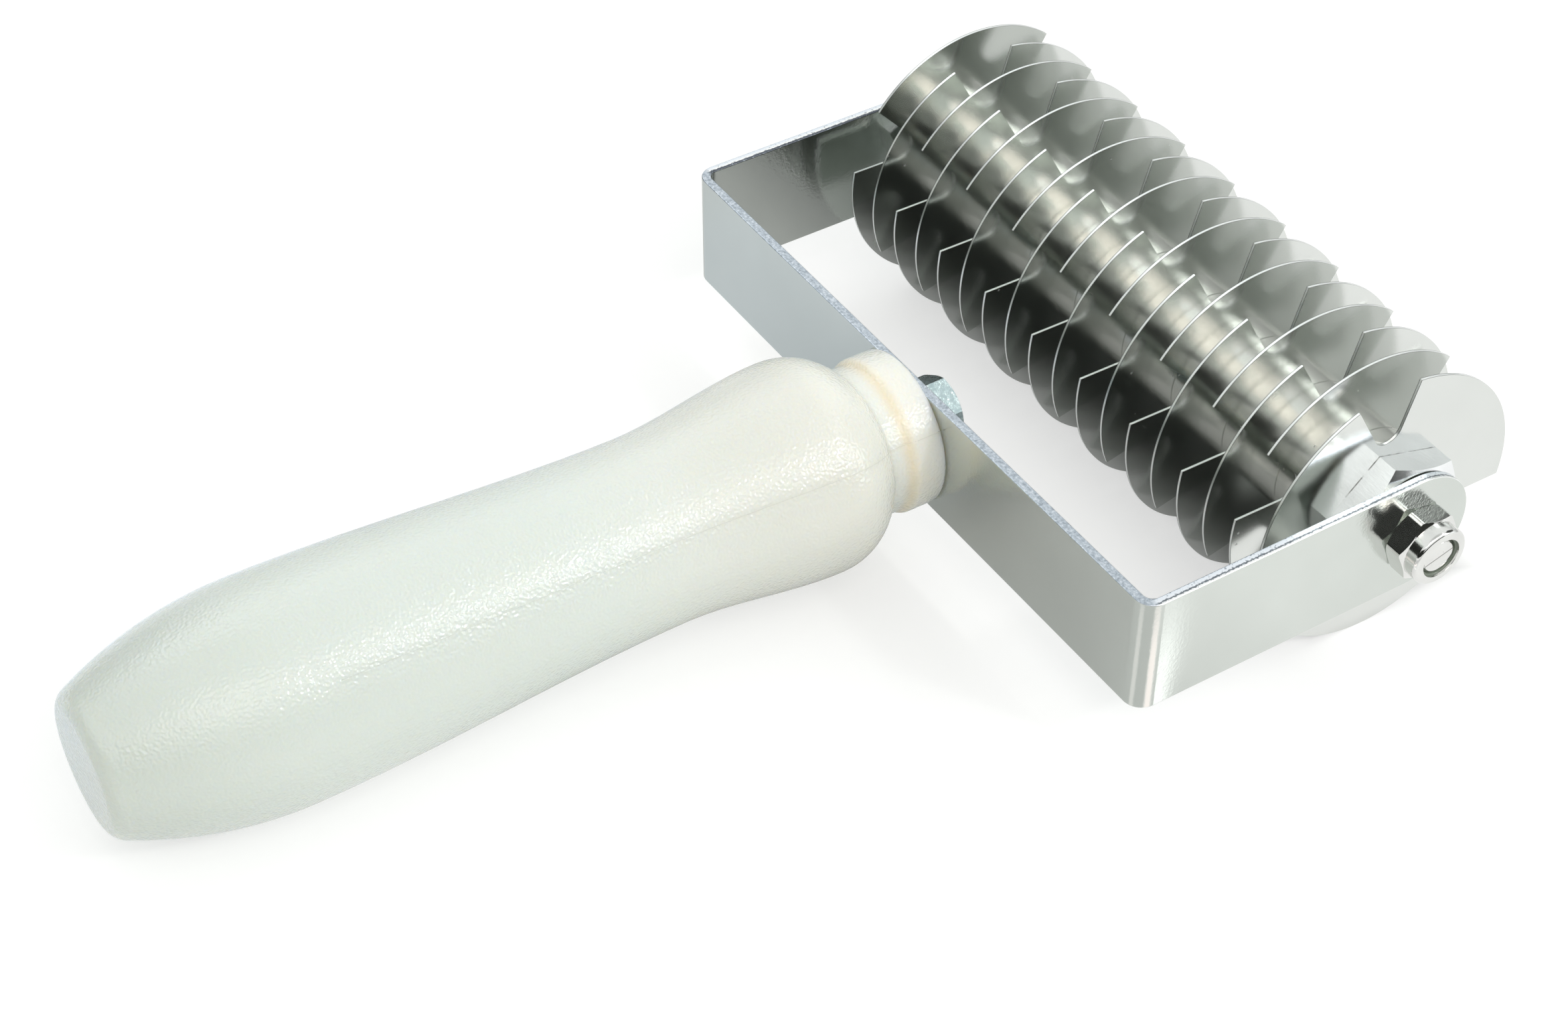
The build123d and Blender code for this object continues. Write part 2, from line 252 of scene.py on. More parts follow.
def makeFacingGroup():
    # picks out the faces that look along a direction
    group, given, result = newGroup(
        "facingMask",
        [("Vector", "NodeSocketVector", None),
         ("Way", "NodeSocketVector", (0, 0, 1)),
         ("From", "NodeSocketFloat", 0.2),
         ("To", "NodeSocketFloat", 0.4)],
        [("Mask", "NodeSocketFloat")])
    link = group.links.new
    along = addNode(group, "ShaderNodeVectorMath", (-3, 0), operation="DOT_PRODUCT")
    fade = addNode(group, "ShaderNodeMapRange", (0, 0), {"To Min": 0.0, "To Max": 1.0},
                   interpolation_type="SMOOTHSTEP")
    link(given.outputs["Vector"], along.inputs[0])
    link(given.outputs["Way"], along.inputs[1])
    link(along.outputs["Value"], fade.inputs["Value"])
    link(given.outputs["From"], fade.inputs["From Min"])
    link(given.outputs["To"], fade.inputs["From Max"])
    link(fade.outputs["Result"], result.inputs["Mask"])
    return group


grainGroup = makeGrainGroup()
mottleGroup = makeMottleGroup()
speckGroup = makeSpeckGroup()
bandGroup = makeBandGroup()
facingGroup = makeFacingGroup()
print("cutter: shared effects ready")


def newFinish(name):
    finish = bpy.data.materials.new(name)
    finish.use_nodes = True
    tree = finish.node_tree
    tree.nodes.clear()
    shader = addNode(tree, "ShaderNodeBsdfPrincipled", (6, 0))
    end = addNode(tree, "ShaderNodeOutputMaterial", (8, 0))
    tree.links.new(shader.outputs["BSDF"], end.inputs["Surface"])
    place = addNode(tree, "ShaderNodeTexCoord", (-8, 0))
    return finish, tree, shader, place.outputs


def placeGroup(tree, group, at, place, values):
    node = addNode(tree, "ShaderNodeGroup", at, node_tree=group)
    tree.links.new(place, node.inputs["Vector"])
    for socket, value in values.items():
        node.inputs[socket].default_value = value
    return node


def addBump(tree, shader, place, height, strength, depth):
    bump = addNode(tree, "ShaderNodeBump", place, {"Strength": strength, "Distance": depth})
    tree.links.new(height, bump.inputs["Height"])
    tree.links.new(bump.outputs["Normal"], shader.inputs["Normal"])


def startSteel(name, look):
    # common ground of all the metals: cloudy tone and roughness, fine grain, a little dust
    finish, tree, shader, place = newFinish(name)
    shader.inputs["Metallic"].default_value = 1.0
    mottle = placeGroup(tree, mottleGroup, (-5, 2), place["Object"],
                        {"Scale": look["mottleScale"], "Low": look["roughLow"], "High": look["roughHigh"]})
    grain = placeGroup(tree, grainGroup, (-5, -2), place["Object"],
                       {"Stretch": look["stretch"], "Scale": look["grainScale"]})
    specks = placeGroup(tree, speckGroup, (-5, 4), place["Object"],
                        {"Scale": look["speckScale"], "Size": look["speckSize"], "Share": look["speckShare"]})
    tone = mixTwo(tree, (-3, 3), mottle.outputs["Mask"], look["colour"], look["otherColour"])
    tone = mixTwo(tree, (-2, 4), specks.outputs["Mask"], tone, look["speckColour"])
    rough = mixTwo(tree, (-2, 1), specks.outputs["Mask"], mottle.outputs["Value"],
                   look["speckRough"], "FLOAT")
    return finish, tree, shader, place, tone, rough, grain.outputs["Height"]


def finishSteel(tree, shader, look, tone, rough, height):
    tree.links.new(tone, shader.inputs["Base Color"])
    tree.links.new(rough, shader.inputs["Roughness"])
    addBump(tree, shader, (4, -3), height, look["bump"], look["bumpDepth"])


def dress(finish, *names):
    for name in names:
        for slot in nodes[name].material_slots:
            slot.material = finish


# blades: bright rolled sheet, the cut rims paler than the faces, with painted dark reflection along both
# arrises of each rim

bladeLook = {
    "colour": (0.725, 0.74, 0.72), "otherColour": (0.70, 0.715, 0.695),
    "roughLow": 0.11, "roughHigh": 0.15, "mottleScale": 70.0,
    "stretch": (1, 1, 14), "grainScale": 900.0, "bump": 0.02, "bumpDepth": 0.0001,
    "speckScale": 260.0, "speckSize": 0.07, "speckShare": 0.18,
    "speckColour": (0.88, 0.89, 0.88), "speckRough": 0.5,
    "rimColour": (0.86, 0.88, 0.87), "rimRough": 0.32, "rimFrom": 0.3, "rimTo": 0.7,
    "rimCore": 0.00028, "rimSoft": 0.00006, "arrisShadeColour": (0.13, 0.135, 0.13),
}
bladeNames = [name for name in nodes if name.startswith("blade_")]
bladeMiddles = sorted(sum(corner.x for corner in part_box(name)) / 2 for name in bladeNames)
bladePitch = (bladeMiddles[-1] - bladeMiddles[0]) / (len(bladeMiddles) - 1)


def makeBladeSteel(name, look):
    finish, tree, shader, place, tone, rough, height = startSteel(name, look)
    turned = addNode(tree, "ShaderNodeVectorMath", (-6, 6), operation="ABSOLUTE")
    tree.links.new(place["Normal"], turned.inputs[0])
    face = placeGroup(tree, facingGroup, (-5, 6), turned.outputs["Vector"],
                      {"Way": sideWay, "From": look["rimFrom"], "To": look["rimTo"]})
    # distance from the middle of the nearest blade, counted in blades
    along = placeGroup(tree, bandGroup, (-7, 9), place["Object"],
                       {"Origin": (bladeMiddles[0], 0, 0), "Way": sideWay})
    blades = doMath(tree, (-6, 9), "DIVIDE", along.outputs["Station"], bladePitch)
    away = doMath(tree, (-5, 9), "SUBTRACT", blades, doMath(tree, (-5, 10), "ROUND", blades))
    away = doMath(tree, (-4, 9), "ABSOLUTE", away)
    half = look["rimCore"] / 2
    arrisShade = addNode(tree, "ShaderNodeMapRange", (-3, 9),
                    {"From Min": half / bladePitch, "From Max": (half + look["rimSoft"]) / bladePitch})
    tree.links.new(away, arrisShade.inputs["Value"])
    # painted dark reflection along both arrises of each rim, so the bright line of the rim reads thin
    rim = mixTwo(tree, (-1, 8), arrisShade.outputs["Result"], look["rimColour"], look["arrisShadeColour"])
    tone = mixTwo(tree, (2, 4), face.outputs["Mask"], rim, tone)
    rough = mixTwo(tree, (2, 1), face.outputs["Mask"], look["rimRough"], rough, "FLOAT")
    finishSteel(tree, shader, look, tone, rough, height)
    return finish


dress(makeBladeSteel("bladeSteel", bladeLook), *bladeNames)

# spacers and core: turned tube, its faint tool lines run round

spacerLook = {
    "colour": (0.88, 0.865, 0.845), "otherColour": (0.84, 0.825, 0.805),
    "roughLow": 0.13, "roughHigh": 0.18, "mottleScale": 90.0,
    "stretch": (14, 1, 1), "grainScale": 700.0, "bump": 0.012, "bumpDepth": 0.0001,
    "speckScale": 320.0, "speckSize": 0.08, "speckShare": 0.12,
    "speckColour": (0.50, 0.49, 0.46), "speckRough": 0.45,
}


def makePlainSteel(name, look):
    finish, tree, shader, place, tone, rough, height = startSteel(name, look)
    finishSteel(tree, shader, look, tone, rough, height)
    return finish


spacerNames = [name for name in nodes if name.startswith("spacer_")]
dress(makePlainSteel("spacerSteel", spacerLook), "core", *spacerNames)

# yoke: plated strip; the sheared top edge carries a painted white highlight with a dark line beside it on the
# arms, and a painted grey-blue reflection on the bar

yokeLook = {
    "colour": (0.645, 0.675, 0.645), "otherColour": (0.61, 0.64, 0.61),
    "roughLow": 0.13, "roughHigh": 0.18, "mottleScale": 45.0,
    "stretch": (1, 1, 1), "grainScale": 1900.0, "bump": 1.0, "bumpDepth": 0.0001, "grainRelief": 0.20,
    "speckScale": 140.0, "speckSize": 0.035, "speckShare": 0.10,
    "speckColour": (0.22, 0.23, 0.22), "speckRough": 0.5,
    "anisotropic": 0.35, "turn": 0.25,
    "thickness": 0.0015, "edgeFrom": 0.3, "edgeTo": 0.6,      # a face belongs to the edge as it turns upwards
    "edgeRough": 0.30, "edgeScale": 2400.0, "edgeRelief": 0.5, "edgeRagged": 0.25, "edgeMiddle": 0.5,
    # painted reflection tones across the far arm's edge (0 to 0.5), then across the near arm's (0.5 to 1):
    # pale blue, a white painted highlight and a dark line
    "armShare": 0.5,
    "edgeHighlightTones": ((0.0, (0.50, 0.56, 0.62)), (0.10, (0.80, 0.84, 0.90)), (0.22, (0.84, 0.87, 0.92)),
                  (0.26, (0.95, 0.96, 0.96)), (0.33, (0.95, 0.96, 0.96)), (0.37, (0.10, 0.11, 0.13)),
                  (0.50, (0.10, 0.11, 0.13)), (0.53, (0.50, 0.56, 0.62)), (0.58, (0.80, 0.84, 0.90)),
                  (0.77, (0.84, 0.87, 0.92)), (0.81, (0.16, 0.18, 0.20)), (0.87, (0.20, 0.22, 0.25)),
                  (0.91, (0.95, 0.96, 0.96)), (1.0, (0.95, 0.96, 0.96))),
    # painted grey-blue reflection along the bar's top edge, following the torn grain
    "barReflectionTones": ((0.36, (0.34, 0.38, 0.43)), (0.46, (0.46, 0.51, 0.57)), (0.55, (0.51, 0.56, 0.62)),
                 (0.64, (0.66, 0.70, 0.76))),
    "barBlend": 0.0008,
    "edgeTorn": (0.34, 0.38, 0.43), "tornFrom": 0.58, "tornTo": 0.68,
}


def makeYokeSteel(name, look):
    finish, tree, shader, place, tone, rough, height = startSteel(name, look)
    shader.inputs["Anisotropic"].default_value = look["anisotropic"]
    shader.inputs["Anisotropic Rotation"].default_value = look["turn"]
    # how far across the top edge: 0 to 0.5 over the far arm, 0.5 to 1 over the near one
    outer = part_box("yoke")[1].x
    inner = outer - look["thickness"]
    across = placeGroup(tree, bandGroup, (-7, 12), place["Object"], {"Way": sideWay})
    depths = []
    for row, (start, end) in enumerate(((-outer, -inner), (inner, outer))):
        depth = addNode(tree, "ShaderNodeMapRange", (-6, 10 + 2 * row),
                        {"From Min": start, "From Max": end, "To Max": look["armShare"]})
        tree.links.new(across.outputs["Station"], depth.inputs["Value"])
        depths.append(depth.outputs["Result"])
    depth = doMath(tree, (-5, 11), "ADD", *depths)
    behind = placeGroup(tree, bandGroup, (-7, 10), place["Object"], {"Origin": axleCentre, "Way": backWay})
    onBar = addNode(tree, "ShaderNodeMapRange", (-6, 9),
                    {"From Min": barStation - look["thickness"] - look["barBlend"],
                     "From Max": barStation - look["thickness"]})
    tree.links.new(behind.outputs["Station"], onBar.inputs["Value"])
    edge = placeGroup(tree, facingGroup, (-5, 6), place["Normal"],
                      {"Way": upWay, "From": look["edgeFrom"], "To": look["edgeTo"]})
    torn = placeGroup(tree, grainGroup, (-5, 8), place["Object"], {"Scale": look["edgeScale"]})
    ragged = doMath(tree, (-5, 13), "SUBTRACT", torn.outputs["Height"], look["edgeMiddle"])
    ragged = doMath(tree, (-4, 13), "MULTIPLY", ragged, look["edgeRagged"])
    # painted highlight and reflection tones across each arm's edge, painted reflection along the bar's
    edgeHighlightTone = addRamp(tree, (-3, 11), doMath(tree, (-4, 11), "ADD", depth, ragged), look["edgeHighlightTones"])
    barReflectionTone = addRamp(tree, (-3, 13), torn.outputs["Height"], look["barReflectionTones"])
    tornMask = addNode(tree, "ShaderNodeMapRange", (-3, 8),
                       {"From Min": look["tornFrom"], "From Max": look["tornTo"]})
    tree.links.new(torn.outputs["Height"], tornMask.inputs["Value"])
    edgeHighlightTone = mixTwo(tree, (-2, 9), tornMask.outputs["Result"], edgeHighlightTone, look["edgeTorn"])
    edgeHighlightTone = mixTwo(tree, (-1, 11), onBar.outputs["Result"], edgeHighlightTone, barReflectionTone)
    tone = mixTwo(tree, (2, 4), edge.outputs["Mask"], tone, edgeHighlightTone)
    rough = mixTwo(tree, (2, 1), edge.outputs["Mask"], rough, look["edgeRough"], "FLOAT")
    # the torn edge has the stronger relief, so each height is scaled before they meet
    fine = doMath(tree, (0, -2), "MULTIPLY", height, look["grainRelief"])
    coarse = doMath(tree, (0, -3), "MULTIPLY", torn.outputs["Height"], look["edgeRelief"])
    height = mixTwo(tree, (2, -2), edge.outputs["Mask"], fine, coarse, "FLOAT")
    finishSteel(tree, shader, look, tone, rough, height)
    return finish


# the handle's collar stands on the bar, so the nearest point of the handle gives the bar's outer face
barStation = min((point.co - axleCentre).dot(backWay) for point in nodes["handle"].data.vertices)
dress(makeYokeSteel("yokeSteel", yokeLook), "yoke")

# hub nuts: bright satin flats, with a broken line of painted shade where they bear on the end blades

hubNutLook = {
    "colour": (0.88, 0.89, 0.90), "otherColour": (0.83, 0.84, 0.85),
    "roughLow": 0.16, "roughHigh": 0.24, "mottleScale": 160.0,
    "stretch": (1, 3, 3), "grainScale": 900.0, "bump": 0.06, "bumpDepth": 0.0001,
    "speckScale": 420.0, "speckSize": 0.09, "speckShare": 0.15,
    "speckColour": (0.55, 0.56, 0.55), "speckRough": 0.4,
    "seamShadeColour": (0.05, 0.05, 0.045), "seamRough": 0.7,
    "seamHalf": 0.00006, "seamSoft": 0.00008, "seamBreaks": 380.0, "breakLow": -0.6, "breakHigh": 1.0,
}


def makeHubNutSteel(name, look):
    finish, tree, shader, place, tone, rough, height = startSteel(name, look)
    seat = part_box("hub_nut_near")[0].x
    mirrored = addNode(tree, "ShaderNodeVectorMath", (-6, 6), operation="ABSOLUTE")
    tree.links.new(place["Object"], mirrored.inputs[0])
    seamShade = placeGroup(tree, bandGroup, (-5, 6), mirrored.outputs["Vector"],
                      {"Way": sideWay, "Middle": seat, "Half": look["seamHalf"], "Soft": look["seamSoft"]})
    breaks = placeGroup(tree, mottleGroup, (-5, 8), place["Object"],
                        {"Scale": look["seamBreaks"], "Low": look["breakLow"], "High": look["breakHigh"]})
    # painted shade in the joint where the nut bears on the blade, broken up along its length
    mask = doMath(tree, (-2, 7), "MULTIPLY", seamShade.outputs["Mask"], breaks.outputs["Value"])
    tone = mixTwo(tree, (2, 4), mask, tone, look["seamShadeColour"])
    rough = mixTwo(tree, (2, 1), mask, rough, look["seamRough"], "FLOAT")
    finishSteel(tree, shader, look, tone, rough, height)
    return finish


dress(makeHubNutSteel("hubNutSteel", hubNutLook), "hub_nut_near", "hub_nut_far")

# axle and its nuts: bright plated, one fine cut across each end of the axle

axleLook = {
    "colour": (0.76, 0.76, 0.745), "otherColour": (0.70, 0.70, 0.685),
    "roughLow": 0.04, "roughHigh": 0.08, "mottleScale": 220.0,
    "stretch": (1, 4, 4), "grainScale": 1200.0, "bump": 0.04, "bumpDepth": 0.0001,
    "speckScale": 700.0, "speckSize": 0.10, "speckShare": 0.12,
    "speckColour": (0.40, 0.41, 0.40), "speckRough": 0.35,
    "cutAngle": 18.0, "cutBelow": -0.0002, "cutHalf": 0.00005, "cutSoft": 0.00007,
    "cutColour": (0.25, 0.25, 0.24), "cutRough": 0.5, "endFrom": 0.85, "endTo": 0.95,
}


def makeAxleSteel(name, look):
    finish, tree, shader, place, tone, rough, height = startSteel(name, look)
    turn = math.radians(look["cutAngle"])
    cut = placeGroup(tree, bandGroup, (-5, 6), place["Object"],
                     {"Origin": axleCentre, "Way": (0, -math.sin(turn), math.cos(turn)),
                      "Middle": look["cutBelow"], "Half": look["cutHalf"], "Soft": look["cutSoft"]})
    turned = addNode(tree, "ShaderNodeVectorMath", (-6, 8), operation="ABSOLUTE")
    tree.links.new(place["Normal"], turned.inputs[0])
    end = placeGroup(tree, facingGroup, (-5, 8), turned.outputs["Vector"],
                     {"Way": sideWay, "From": look["endFrom"], "To": look["endTo"]})
    mask = doMath(tree, (-2, 7), "MULTIPLY", cut.outputs["Mask"], end.outputs["Mask"])
    tone = mixTwo(tree, (2, 4), mask, tone, look["cutColour"])
    rough = mixTwo(tree, (2, 1), mask, rough, look["cutRough"], "FLOAT")
    finishSteel(tree, shader, look, tone, rough, height)
    return finish


axleNutLook = dict(axleLook, speckScale=520.0)
dress(makeAxleSteel("axleSteel", axleLook), "axle")
dress(makePlainSteel("axleNutSteel", axleNutLook), "axle_nut_near", "axle_nut_far")

# nut, washer and stud of the handle: coarse blue-white zinc

zincLook = {
    "colour": (0.52, 0.62, 0.63), "otherColour": (0.32, 0.41, 0.43),
    "roughLow": 0.20, "roughHigh": 0.36, "mottleScale": 1500.0,
    "stretch": (1, 1, 1), "grainScale": 2600.0, "bump": 0.45, "bumpDepth": 0.0001,
    "speckScale": 1400.0, "speckSize": 0.30, "speckShare": 0.30,
    "speckColour": (0.80, 0.86, 0.86), "speckRough": 0.25,
}
dress(makePlainSteel("zincSteel", zincLook), "handle_nut", "handle_washer", "handle_stud")

# bushes: oiled bronze

bronzeLook = {
    "colour": (0.56, 0.40, 0.22), "otherColour": (0.44, 0.31, 0.17),
    "roughLow": 0.28, "roughHigh": 0.40, "mottleScale": 260.0,
    "stretch": (10, 1, 1), "grainScale": 900.0, "bump": 0.08, "bumpDepth": 0.0001,
    "speckScale": 500.0, "speckSize": 0.12, "speckShare": 0.2,
    "speckColour": (0.20, 0.14, 0.08), "speckRough": 0.5,
}
dress(makePlainSteel("bushBronze", bronzeLook), "bush_near", "bush_far")
print("cutter: metals dressed")

# handle: waxy pebbled moulding, cooler and darker towards the butt and warmer towards the collar, with a
# painted warm shade band in the collar's groove

handleLook = {
    # share of the length from the yoke, and the tone there; the warm stop at 0.042 is painted shade in the
    # collar's groove
    "tones": ((0.0, (0.83, 0.815, 0.75)), (0.031, (0.83, 0.82, 0.765)), (0.042, (0.84, 0.765, 0.62)),
              (0.056, (0.79, 0.80, 0.755)), (0.14, (0.745, 0.75, 0.705)), (0.30, (0.735, 0.755, 0.715)),
              (0.45, (0.70, 0.745, 0.715)), (1.0, (0.655, 0.705, 0.67))),
    "length": 0.1302, "mottle": 0.985, "mottleWarm": 0.985,
    "roughLow": 0.12, "roughHigh": 0.15, "mottleScale": 30.0,
    "pebbleScale": 2200.0, "pebbleDetail": 0.0, "pebble": 0.8, "pebbleDepth": 0.00014,
    "glow": 0.8, "glowDepth": 0.006, "glowSpread": (1.0, 0.82, 0.58),
    "speckScale": 170.0, "speckSize": 0.045, "speckShare": 0.10, "speckColour": (0.55, 0.55, 0.50),
}


def makeHandlePlastic(name, look):
    finish, tree, shader, place = newFinish(name)
    shader.inputs["Subsurface Weight"].default_value = look["glow"]
    shader.inputs["Subsurface Scale"].default_value = look["glowDepth"]
    shader.inputs["Subsurface Radius"].default_value = look["glowSpread"]
    along = placeGroup(tree, bandGroup, (-5, 4), place["Object"], {"Origin": axleCentre, "Way": backWay})
    share = addNode(tree, "ShaderNodeMapRange", (-4, 4),
                    {"From Min": barStation, "From Max": barStation + look["length"]})
    tree.links.new(along.outputs["Station"], share.inputs["Value"])
    tones = addRamp(tree, (-3, 4), share.outputs["Result"], look["tones"])
    mottle = placeGroup(tree, mottleGroup, (-5, 1), place["Object"],
                        {"Scale": look["mottleScale"], "Low": look["roughLow"], "High": look["roughHigh"]})
    shade = addNode(tree, "ShaderNodeMix", (0, 3), data_type="RGBA", blend_type="MULTIPLY")
    shade.inputs["B"].default_value = (look["mottle"], look["mottle"], look["mottle"] * look["mottleWarm"], 1)
    tree.links.new(mottle.outputs["Mask"], shade.inputs["Factor"])
    tree.links.new(tones, shade.inputs["A"])
    specks = placeGroup(tree, speckGroup, (-5, 6), place["Object"],
                        {"Scale": look["speckScale"], "Size": look["speckSize"], "Share": look["speckShare"]})
    tone = mixTwo(tree, (2, 4), specks.outputs["Mask"], shade.outputs["Result"], look["speckColour"])
    pebble = placeGroup(tree, grainGroup, (-5, -2), place["Object"],
                        {"Scale": look["pebbleScale"], "Detail": look["pebbleDetail"]})
    tree.links.new(tone, shader.inputs["Base Color"])
    tree.links.new(mottle.outputs["Value"], shader.inputs["Roughness"])
    addBump(tree, shader, (4, -3), pebble.outputs["Height"], look["pebble"], look["pebbleDepth"])
    return finish


dress(makeHandlePlastic("handlePlastic", handleLook), "handle")

# lock rings: dark green-grey nylon

ringLook = dict(
    handleLook, tones=((0.0, (0.17, 0.20, 0.16)), (1.0, (0.20, 0.22, 0.18))),
    roughLow=0.35, roughHigh=0.5, mottleScale=300.0, mottle=0.8, pebble=0.1, glow=0.0, speckShare=0.0)
dress(makeHandlePlastic("lockNylon", ringLook), "lock_ring_near", "lock_ring_far")
print("cutter: plastics dressed")

# parting line of the moulding: a low ridge down both sides, with a small nib of flash at the collar

ridgeLook = {
    "angle": 32.0, "twist": 66.0,                   # degrees round from the near side, and more per metre
    "height": 0.000016, "width": 0.00020, "sink": 0.00010, "shoulderOut": 0.55, "shoulderUp": 0.75,
    "step": 0.0006, "reach": 0.098, "fadeFrom": 0.055, "start": 0.0004,
    "nibHeight": 0.00042, "nibLength": 0.0007, "castFrom": 0.03, "toneShare": 0.90,
}


def makeRidge(name, look, facing):
    handle = nodes["handle"]
    pointsRound = 5                                          # round one section of the ridge
    stations, along = [], look["start"]
    while along < look["reach"]:
        stations.append(along)
        along += look["step"]
    onSurface = []
    for along in stations:
        turn = math.radians(look["angle"] + look["twist"] * along)
        out = (sideWay * math.cos(turn) + upWay * math.sin(turn)) * facing
        start = axleCentre + backWay * (barStation + along) + out * look["castFrom"]
        hit, point, normal, faceIndex = handle.ray_cast(start, -out)
        if hit:
            onSurface.append((along, point, normal))
    half = look["width"] / 2
    points, faces = [], []
    for count, (along, point, normal) in enumerate(onSurface):
        ahead = onSurface[min(count + 1, len(onSurface) - 1)][1]
        behind = onSurface[max(count - 1, 0)][1]
        across = (ahead - behind).normalized().cross(normal).normalized()
        nib = max(0.0, 1 - (along - look["start"]) / look["nibLength"]) if facing > 0 else 0.0
        low = look["height"] * min(1.0, (look["reach"] - along) / (look["reach"] - look["fadeFrom"]))
        crest = low + (look["nibHeight"] - low) * nib
        shoulder, rise = across * half * look["shoulderOut"], normal * crest * look["shoulderUp"]
        points += [point - across * half - normal * look["sink"],
                   point - shoulder + rise,
                   point + normal * crest,
                   point + shoulder + rise,
                   point + across * half - normal * look["sink"]]
        if count:
            first, last = pointsRound * (count - 1), pointsRound * count
            for side in range(pointsRound):
                other = (side + 1) % pointsRound
                faces.append((first + side, first + other, last + other, last + side))
    faces.append(tuple(reversed(range(pointsRound))))
    final = len(points) - pointsRound
    faces.append(tuple(final + side for side in range(pointsRound)))
    ridge = addMesh(name, points, faces)
    ridge.data.materials.append(ridgePlastic)
    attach(ridge, "frame")


ridgeTones = [(share, [ridgeLook["toneShare"] * part for part in tone])
              for share, tone in handleLook["tones"]]
ridgePlastic = makeHandlePlastic("ridgePlastic", dict(handleLook, tones=ridgeTones, glow=0.0, pebble=0.1))
makeRidge("parting_ridge_near", ridgeLook, 1)
makeRidge("parting_ridge_far", ridgeLook, -1)
print("cutter: parting ridges laid on the handle")

# stage: white floor, pale tent overhead, dark and grey cards round the table

floorLook = {
    "half": 4.0, "colour": (0.85, 0.86, 0.85), "other": (0.83, 0.84, 0.83), "cloudScale": 3.0,
    "rough": 0.6, "sheen": 0.2,
    "seenColour": (0.47, 0.474, 0.47), "lift": 0.57,
    # to the eye the lift gives way to shade under the roller, from back to front and out to the sides
    "seenShade": {"back": 0.080, "fadeBack": 0.013, "front": 0.092, "fadeFront": 0.013,
                  "side": 0.047, "fadeSide": 0.006},
    # in the metal it follows the distance along the tool: under the roller, and beside it,
    # which begins further out at the far end
    "mirrorReach": (-0.10, 0.20), "mirrorSide": 0.048, "mirrorFade": 0.006, "mirrorFarSide": 0.076,
    "mirrorUnder": ((-0.06, 0.57), (-0.03, 0.18), (0.03, 0.18), (0.045, 0.22), (0.055, 0.24), (0.062, 0.20),
                    (0.067, 0.20), (0.072, 0.09), (0.077, 0.0), (0.106, 0.0), (0.115, 0.17), (0.13, 0.48)),
    "mirrorBeside": ((-0.06, 0.57), (-0.03, 0.18), (0.03, 0.18), (0.05, 0.44), (0.07, 0.57), (0.12, 0.48)),
    "shadeColour": (0.24, 0.24, 0.24), "bendIn": 0.003,
    # painted cool glow on the floor behind the far half of the bar, shown only in the metal, which the bar
    # mirrors
    "coolGlow": {"middle": -0.055, "half": 0.020, "soft": 0.045, "front": 0.034, "fade": 0.008,
             "lift": 0.20, "colour": (0.78, 0.865, 1.0)},
    # glints on the floor beside the near bend, which the bend shows as upright lines: bearing, spread, lift
    "glints": ((4.0, 22.0, 0.75), (-80.0, 16.0, 0.30)), "glintCore": 0.3, "glintColour": (1.0, 0.80, 0.78),
    "glintReach": 0.045, "glintFull": 0.6,
    "flash": {"bearing": 44.5, "half": 0.0005, "soft": 0.0014, "lift": 0.9,
              "startIn": 0.00435, "fadeIn": 0.002},
}
tentLook = {
    "colour": (0.975, 1.0, 0.985), "strength": 1.05,
    "levels": ((0.0, 0.56), (0.25, 0.78), (0.45, 1.0), (0.85, 1.0), (1.0, 0.6)),   # height of the ray, level
}
cardLook = {
    "blackCard": {"colour": (0.012, 0.013, 0.011), "from": -100.0, "to": -38.0, "low": 0.0, "high": 31.0},
    "lowCard": {"colour": (0.028, 0.030, 0.026), "from": -38.0, "to": 34.0, "low": 0.0, "high": 14.0},
    "greyCard": {"colour": (0.68, 0.69, 0.66), "from": -140.0, "to": -100.0, "low": 0.0, "high": 24.0},
    "backCard": {"colour": (0.16, 0.165, 0.16), "from": -180.0, "to": -140.0, "low": 0.0, "high": 38.0},
    "slateCard": {"colour": (0.10, 0.103, 0.10), "from": 54.0, "to": 100.0, "low": 20.0, "high": 46.0},
}
cardRadius = 1.3
cardStep = 3.0                                               # degrees
cardRough = 0.9


def addFloorShade(tree, row, place, zone, lift):
    # lift of the floor: none inside the zone, growing to its full value across the fades
    apart = addNode(tree, "ShaderNodeSeparateXYZ", (-6, row))
    tree.links.new(place, apart.inputs["Vector"])
    front = doMath(tree, (-5, row), "SUBTRACT", apart.outputs["Y"], zone["front"])
    front = doMath(tree, (-4, row), "DIVIDE", front, zone["fadeFront"])
    back = doMath(tree, (-5, row - 1), "SUBTRACT", zone["back"], apart.outputs["Y"])
    back = doMath(tree, (-4, row - 1), "DIVIDE", back, zone["fadeBack"])
    side = doMath(tree, (-5, row - 2), "ABSOLUTE", apart.outputs["X"])
    side = doMath(tree, (-4, row - 2), "SUBTRACT", side, zone["side"])
    side = doMath(tree, (-3, row - 2), "DIVIDE", side, zone["fadeSide"])
    outside = doMath(tree, (-2, row), "MAXIMUM", front, back)
    outside = doMath(tree, (-1, row), "MAXIMUM", outside, side)
    fade = addNode(tree, "ShaderNodeMapRange", (0, row), {"To Max": lift}, interpolation_type="SMOOTHSTEP")
    tree.links.new(outside, fade.inputs["Value"])
    return fade.outputs["Result"]


